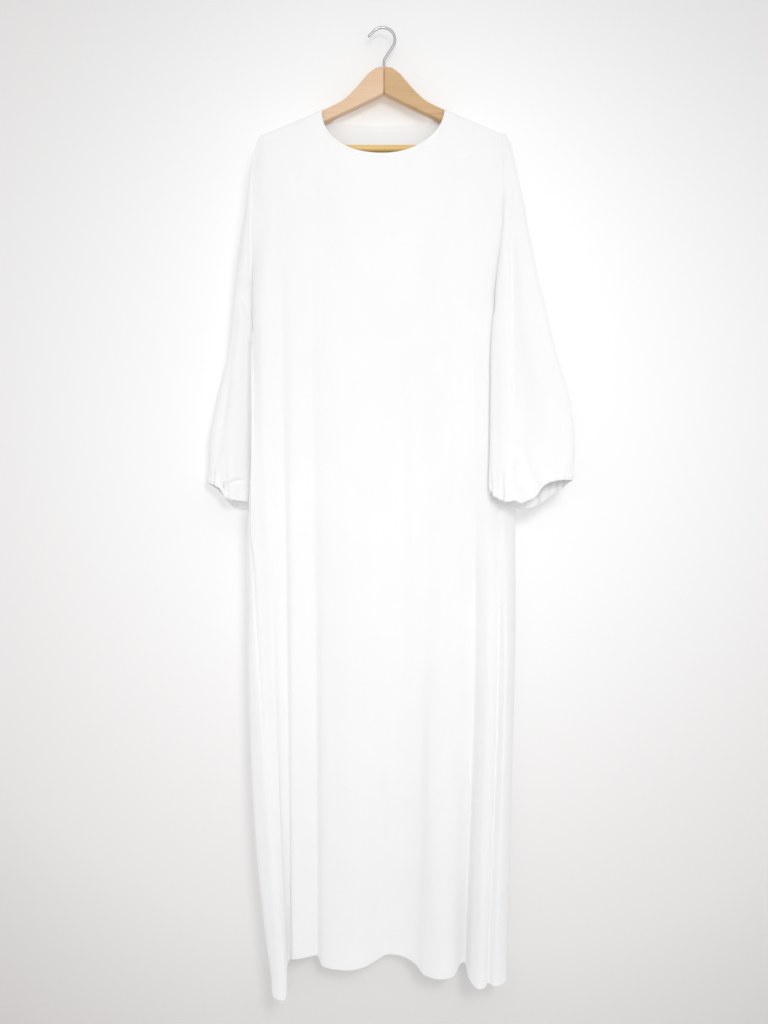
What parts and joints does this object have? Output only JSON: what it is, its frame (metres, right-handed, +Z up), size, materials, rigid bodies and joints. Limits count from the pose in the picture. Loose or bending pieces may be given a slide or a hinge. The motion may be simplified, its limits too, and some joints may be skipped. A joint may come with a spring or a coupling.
{
  "type": "abaya on wooden hanger",
  "caption": "Long loose white abaya with round neck, dropped shoulders and full sleeves drawn in at the cuffs, hung in soft folds on a wooden hanger with a metal hook",
  "frame": {"origin": "under the top of the hook's turn, where the rail bears", "axes": "+Z up, the garment's front faces -Y, +X to the right in the view from the front"},
  "size_m": [0.5896, 0.1008, 1.5611],
  "materials": {
    "white_cloth": "matt plain-woven crepe, neutral white",
    "pale_wood": "satin clear lacquer",
    "warm_wood": "satin clear lacquer",
    "bright_steel": "polished"
  },
  "bodies": {
    "root": {"front": "white_cloth", "back": "white_cloth", "sleeve_left": "white_cloth", "sleeve_right": "white_cloth", "cuff_left": "white_cloth", "cuff_right": "white_cloth", "hanger_arm_left": "pale_wood", "hanger_arm_right": "warm_wood", "hanger_bar": "pale_wood", "hanger_hook": "bright_steel"}
  },
  "joints": []
}
